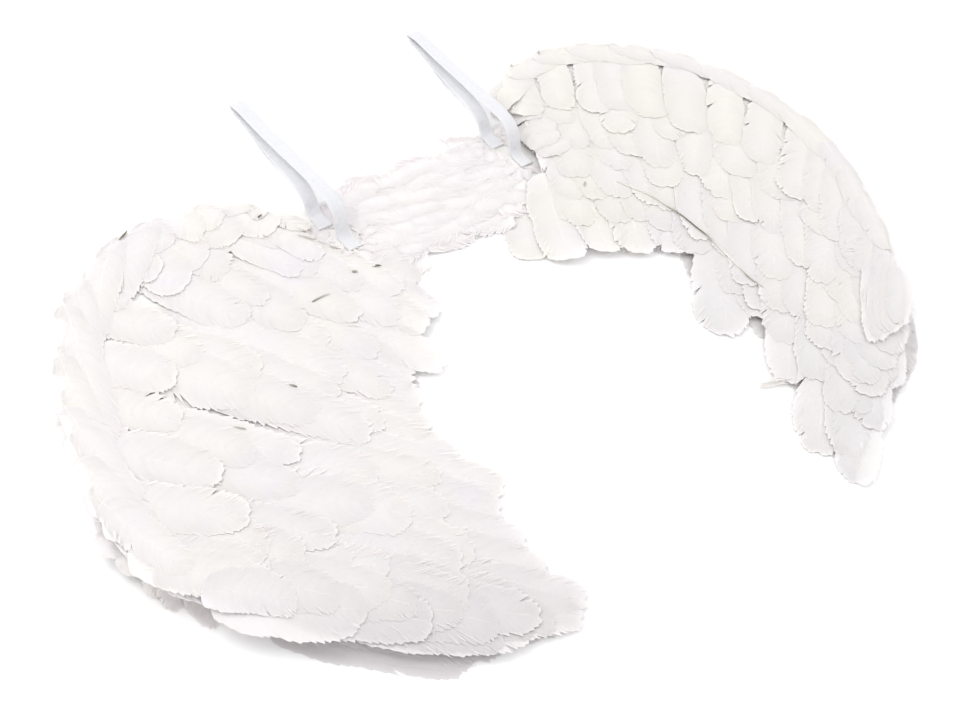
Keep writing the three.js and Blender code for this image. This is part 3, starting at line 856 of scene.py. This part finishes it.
def lay_row(pieces, rng, side, pile, level, row):
    ground = wing_ground(level, pile)
    count = len(row["s"])
    for k in np.argsort(np.arange(count) + rng.uniform(-1, 1, count) * row["shuffle"]):
        sway = row["sway"]
        s = row["s"][k] + rng.uniform(-0.01, 0.01) * sway
        listed = isinstance(row["tip"], list)
        tip = row["tip"][k] if listed else row["tip"] + rng.uniform(-0.025, 0.025) * sway
        root_at = chosen(row["root"], k)
        root_at += (np.interp(s, *RIM[side]) if level == 3 else rng.uniform(-0.02, 0.0))
        tip += np.interp(s, *RIM[side]) if row["fan"] and level == 3 else 0
        lean = row["fan"] + rng.uniform(-0.013, 0.013) * sway
        root = made_point(side, s - lean, root_at)[0]
        end = made_point(side, s + row["fan"], tip)[0]
        wide = chosen(row["width"], k) * (
            (0.78 + 0.22 * float(smooth(0, 0.35, s))) * (1 + rng.uniform(-0.12, 0.12) * min(sway, 1.3)))
        bow = rng.uniform(-2.5, 2.5) * sway
        feather = Feather(rng, root, end, wide, row["form"], bow, tone=tone_and_shade_at(side, s, tip))
        if level >= 0 and not clear_of_loops(feather.outline(), SIDES[side]):
            continue
        curl = rng.uniform(0.3, 0.8) if rng.uniform() < 0.1 else rng.uniform(0.0, 0.1)
        curl += row["curl"] * float(smooth(0.45, 0.3, s))
        feather.lay(pieces, pile, ground, camber=rng.uniform(0.2, 0.6), curl=curl)
        feather.fray(pieces, 10, reach=3.0, rise=0.25)
        feather.fray(pieces, 14, reach=2.0, ends=(0.7, 0.99), rise=0.15, width=0.35)


def inner_feathers(pieces, rng, side, pile):
    for root, tip, width, grey in INNER[side]:
        feather = Feather(rng, root, tip, width, "round", rng.uniform(-2, 2), 12, tone=(0.4, grey))
        if not clear_of_loops(feather.outline(), SIDES[side]):
            continue
        feather.lay(pieces, pile, pile.under, camber=0.1, keep=9)
        feather.fray(pieces, 8, 2.5)


def wisps(pieces, rng, side, pile):
    for root, tip, count in WISPS[side]:
        for _ in range(count):
            start, end = np.array(root) + rng.normal(0, 2.5, 2), np.array(tip) + rng.normal(0, 3.5, 2)
            spot = start + (end - start) * STRAND[:, None]
            spot[:, 1] += rng.uniform(-3, 3) * STRAND * (1 - STRAND)
            z = np.maximum(pile.under(start[None])[0] + 0.2 - 1.5 * STRAND, 0.3)
            strand = blade(np.column_stack([spot, z]), rng.uniform(0.6, 1.2))
            pieces.add(*strand, 0, None, WISP_TONE)


def bare_quill(pieces, pile, points, girth, dark):
    """A length of bare shaft that lies on the feathers."""
    points = np.array(points, float)
    run = run_along(points)
    at = np.linspace(0, run[-1], max(4, int(run[-1] / 3)))
    plan = np.column_stack([np.interp(at, run, points[:, 0]), np.interp(at, run, points[:, 1])])
    for _ in range(2 if len(at) > 6 else 0):
        plan[1:-1] = (plan[:-2] + 2 * plan[1:-1] + plan[2:]) / 4
    z = pile.under(plan, 1) + 0.6 * girth
    share = at / run[-1]
    radii = girth * np.interp(share, [0, 0.1, 0.9, 1], [0.5, 0.9, 0.85, 0.4])
    darkness = np.interp(share, np.linspace(0, 1, len(dark)), dark)
    surface, quads = tube(np.column_stack([plan, z]), radii, 6, 0.85)
    tone = np.zeros((len(surface), 4))
    tone[:, 3] = np.repeat(np.concatenate([[darkness[0]], darkness, [darkness[-1]]]), 6)
    pieces.add(surface, quads, 1, None, tone)


PANEL = felt_sheet(bridge_plan(80, 30), np.zeros((80, 30)))

for side, sign in SIDES.items():
    rng = np.random.default_rng(11 if side == "right" else 23)
    pile = Pile((-40, -345), (345, 130))
    for name, (level, rows) in WING_ROWS[side].items():
        if level == 0:
            top, bottom = felt_backing(side)
            pile.press(top)
            sheet = Pieces()
            sheet.add(*shell(top, bottom))
            felt = sheet.build(f"{side}_felt_backing", [FELT_WHITE], sign)
            dress(felt, "felt_white", f"{side}_wing_backing")
            pile.press(PANEL[0])
        pieces = Pieces()
        if level == 3:
            inner_feathers(pieces, rng, side, pile)
            wisps(pieces, rng, side, pile)
        for row in rows:
            lay_row(pieces, rng, side, pile, level, row)
        for piece, points, girth, dark in QUILLS[side]:
            if piece == name:
                bare_quill(pieces, pile, points, girth, dark)
        feathers = pieces.build(f"{side}_{name}", [VANES[side], QUILL], sign)
        dress(feathers, "feather_white", f"{side}_wing_{name}")


# Arm loops

STRAP_WIDTH, STRAP_THICK, STRAP_RIBS = 10.0, 1.3, 19
STRAP_SEAT = FELT + GAP + STRAP_THICK / 2
LOOP_REACH, LOOP_RISE = 143.5, 18.5
STITCH_PITCH, STITCH_LENGTH, STITCH_LIFT = 1.9, 1.3, 0.1
THREAD_RADII = np.array([0.15, 0.22, 0.22, 0.15])
LOOP_SIDE = [
    (-0.014, 0), (0.056, 0), (0.084, 0.135), (0.105, 0.486), (0.139, 0.81), (0.195, 1), (0.293, 1),
    (0.418, 0.838), (0.571, 0.568), (0.725, 0.314), (0.85, 0.173), (0.941, 0.119), (1, 0.005),
    (0.962, -0.114), (0.85, -0.119), (0.739, -0.103), (0.641, 0.022), (0.544, 0.227), (0.432, 0.443),
    (0.348, 0.503), (0.293, 0.389), (0.258, 0.151), (0.23, 0.027), (0.202, 0), (0.15, 0),
]


def strap_path(loop, steps=260):
    near_foot, far_foot, free_end, up = loop
    lowest = STRAP_THICK / 2 + 0.3
    side = np.array([(y * LOOP_REACH, max(z * LOOP_RISE + STRAP_SEAT, lowest)) for y, z in LOOP_SIDE])
    path = edge_curve(side, np.linspace(0, 1, steps))
    foot = np.where(np.arange(steps) * 2 < steps, near_foot, far_foot)
    x = foot + (free_end - foot) * smooth(0.2 * LOOP_REACH, 0.95 * LOOP_REACH, path[:, 0])
    return np.column_stack([x, path[:, 0] + up, path[:, 1]])


def strap_band(loop):
    """A woven band with ribbed faces and rolled selvedges."""
    path = strap_path(loop)
    ahead = np.gradient(path, axis=0)
    ahead /= np.linalg.norm(ahead, axis=1)[:, None]
    across = np.broadcast_to(np.array([1.0, 0, 0]), path.shape)
    up = np.column_stack([np.zeros(len(path)), -ahead[:, 2], ahead[:, 1]])
    up /= np.linalg.norm(up, axis=1)[:, None]
    w = np.linspace(-1, 1, STRAP_RIBS)
    edge = np.clip((1 - np.abs(w)) / 0.12, 0, 1) ** 0.5
    half = STRAP_THICK / 2 * (0.45 + 0.55 * edge) - 0.06 * (np.arange(STRAP_RIBS) % 2)
    middle = path[:, None] + across[:, None] * (w * STRAP_WIDTH / 2)[None, :, None]
    top = middle + up[:, None] * half[None, :, None]
    bottom = middle - up[:, None] * half[None, :, None]
    run = run_along(path)
    size = (len(run), STRAP_RIBS)
    barb = np.dstack([
        np.broadcast_to(w * STRAP_WIDTH / 2, size), np.broadcast_to(run[:, None], size), np.zeros(size),
    ])
    pieces = Pieces()
    points, quads = shell(top, bottom)
    pieces.add(points, quads, 0, twice(barb))
    flat = (np.abs(path[:, 2] - STRAP_SEAT) < 0.6) & (path[:, 1] < 60)
    first = np.arange(len(path)) * 2 < len(path)
    return pieces, run[-1], [top[flat & first], top[flat & ~first]]


def stitches(pieces, line):
    """Short sewn stitches along a line of points."""
    run = run_along(line)
    for at in np.arange(STITCH_PITCH / 2, run[-1], STITCH_PITCH):
        places = at + np.linspace(-0.5, 0.5, 4) * STITCH_LENGTH
        path = np.column_stack([np.interp(places, run, line[:, k]) for k in range(3)])
        path[:, 2] += STITCH_LIFT * np.array([-1, 1, 1, -1])
        pieces.add(*tube(path, THREAD_RADII, 4, ends=False), 0, None, (0, 0, 0, 0.2))


def foot_stitches(feet):
    """The sewn boxes that hold both ends of an arm loop."""
    pieces = Pieces()
    for foot in feet:
        along = [foot[1:-1, 3], foot[1:-1, 15]]
        across = [foot[row, 3:16] for row in (2, len(foot) // 2, -3)]
        for line in along + across:
            stitches(pieces, line)
    return pieces


feet = []
for side in SIDES:
    pieces, length, foot = strap_band(LOOPS[side])
    feet += foot
    band = pieces.build(f"{side}_elastic_loop", [ELASTIC])
    thread = foot_stitches(foot).build(f"{side}_loop_stitches", [THREAD])
    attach(thread, "root")
    dress(band, "elastic_white", f"{side}_strap")


# Bridge

sheet = Pieces()
sheet.add(*shell(*PANEL))
felt = sheet.build("felt_bridge", [FELT_WHITE])
dress(felt, "felt_white", "bridge_panel")


def bridge_ground(plan):
    return np.full(len(plan), FELT + GAP)


def downy_feather(pieces, rng, pile, root, tip, width, strands=18):
    """A small fluffy feather: a thin vane with loose curved strands round it."""
    tone = (rng.uniform(0.1, 0.5), rng.uniform(0, 0.1))
    feather = Feather(rng, root, tip, width, "round", rng.uniform(-2, 2), 11, 4, 0.15, tone)
    feather.tone[3] = 0
    if not clear_of_loops(feather.outline()):
        return
    feather.lay(pieces, pile, bridge_ground, camber=0.0, settle=(0.0, 0.3), keep=9, quill=0, loft=0.04,
                reach=6)
    for hand in (-1, 1):
        for a in np.linspace(0.0, 0.95, strands) + rng.uniform(-0.02, 0.02, strands):
            fullness = 0.75 + 0.5 * math.sin(math.pi * min(1, 0.12 + a * 0.8))
            reach = width / 2 * fullness * rng.uniform(0.8, 1.15)
            w = np.array([0.3, 0.55, 0.8, 1])
            x = hand * reach * w * (1 - 0.18 * w)
            y = a * feather.length + (0.45 + 0.6 * a) * reach * w ** 1.6 + rng.uniform(-1.5, 1.5) * w ** 2
            spot = feather.plan(x, y)
            if clear_of_loops(spot):
                z = pile.under(spot[None], 3)[0] + 0.08 + rng.uniform(0.0, 0.1) * w ** 1.5
                strand = blade(np.column_stack([spot, z]), rng.uniform(0.8, 1.5), 0.12)
                pieces.add(*strand, 0, None, feather.tone)


# Rows of down on the bridge: onward place, how many, and from which place across to which
DOWN_ROWS = [
    (-29, 9, -50, 56), (-17, 10, -55, 62), (-5, 10, -58, 68), (8, 10, -60, 72), (20, 10, -62, 74),
    (33, 10, -64, 76),
]


def bridge_feathers(feet):
    pieces = Pieces()
    rng = np.random.default_rng(5)
    pile = Pile((-120, -60), (125, 70))
    for grid in (PANEL[0], *feet):
        pile.press(grid)
    for y, count, low, high in DOWN_ROWS:
        for x in rng.permutation(np.linspace(low, high, count)):
            turn = math.radians(rng.uniform(-20, 20) + (180 if rng.uniform() < 0.55 else 0) - 8)
            ahead = np.array([math.cos(turn), math.sin(turn)]) * rng.uniform(24, 33) / 2
            middle = np.array([x + rng.uniform(-3, 3), y + rng.uniform(-4, 4)])
            ends = np.clip([middle - ahead, middle + ahead], (low - 8, -38), (high + 6, 43))
            downy_feather(pieces, rng, pile, ends[0], ends[1], rng.uniform(16, 21))
    for near_foot, far_foot, _, up in LOOPS.values():
        for x, y in ((near_foot, up + 5), (far_foot, up + 28)):
            for turn in rng.permutation(np.linspace(0, 2 * math.pi, 14)[:-1]):
                out = np.array([math.cos(turn), math.sin(turn)])
                root = np.clip(np.array([x, y]) + out * rng.uniform(18, 22), (-84, -30), (96, 38))
                downy_feather(pieces, rng, pile, root, root - out * rng.uniform(9, 12), rng.uniform(8, 10), 9)
    return pieces


dress(bridge_feathers(feet).build("bridge_down", [DOWN, QUILL]), "feather_white", "bridge_feathers")


# Floor, light and camera: from here on lengths are in metres

FLOOR_HALF, FLOOR_LEVEL = 3.0, -0.0004
SENSOR, PHOTO_WIDTH = 36, 960
# The camera that fits both wings' outlines: angles in radians, then its pull of perspective and its scale
AZIMUTH, ELEVATION, ROLL = -0.924498, 0.865652, 0.304696
PERSPECTIVE, SCALE = 0.673884, 600 / 915 * 0.001
AIM = (52.595, -142.650)


def stage_floor():
    mesh = bpy.data.meshes.new("floor")
    r, z = FLOOR_HALF, FLOOR_LEVEL
    mesh.from_pydata([(-r, -r, z), (r, -r, z), (r, r, z), (-r, r, z)], [], [(0, 1, 2, 3)])
    material, tree, shader = node_material("pale_floor", (0.97, 0.97, 0.97), 0.9)
    shader.inputs["Specular IOR Level"].default_value = 0.1
    mesh.materials.append(material)
    put("floor", mesh)


def area_light(name, place, target, size, power, colour=(1, 1, 1)):
    light = bpy.data.lights.new(name, "AREA")
    light.shape = "DISK"
    light.size = size
    light.energy = power
    light.color = colour
    lamp = put(name, light)
    ahead = np.array(target, float) - np.array(place, float)
    ahead /= np.linalg.norm(ahead)
    back = -ahead
    right = np.cross((0, 0, 1.0), back)
    right /= np.linalg.norm(right)
    up = np.cross(back, right)
    turn = Matrix(np.column_stack([right, up, back]).tolist()).to_4x4()
    turn.translation = place
    lamp.matrix_world = turn


def photo_camera():
    level, flat = math.sin(ELEVATION), math.cos(ELEVATION)
    right = np.array([math.cos(AZIMUTH), math.sin(AZIMUTH), 0])
    ahead = np.array([-math.sin(AZIMUTH) * flat, math.cos(AZIMUTH) * flat, -level])
    up = np.cross(right, ahead)
    right, up = (
        right * math.cos(ROLL) + up * math.sin(ROLL), up * math.cos(ROLL) - right * math.sin(ROLL))
    away = 1000 / PERSPECTIVE
    centre = (AIM[0] * right + AIM[1] * up - away * ahead) * SCALE + TO_ROW_FRAME * METRE
    camera = bpy.data.cameras.new("photo_camera")
    camera.sensor_width = SENSOR
    camera.lens = away / PHOTO_WIDTH * SENSOR
    camera.clip_start = 0.01
    camera.clip_end = 50
    thing = put("photo_camera", camera)
    pose = Matrix(np.column_stack([right, up, -ahead]).tolist()).to_4x4()
    pose.translation = centre
    thing.matrix_world = pose
    bpy.context.scene.camera = thing


stage_floor()
photo_camera()
area_light("key", (-0.9, 1.2, 1.6), (0, 0, 0), 1.6, 17.5)
area_light("fill", (1.4, -0.6, 1.5), (0, 0, 0), 1.8, 5, (0.97, 0.97, 1.0))
world = bpy.data.worlds.new("studio")
world.use_nodes = True
world.node_tree.nodes["Background"].inputs["Color"].default_value = (1.0, 1.0, 1.0, 1)
world.node_tree.nodes["Background"].inputs["Strength"].default_value = 1.07
bpy.context.scene.world = world
bpy.context.scene.view_settings.view_transform = "Standard"
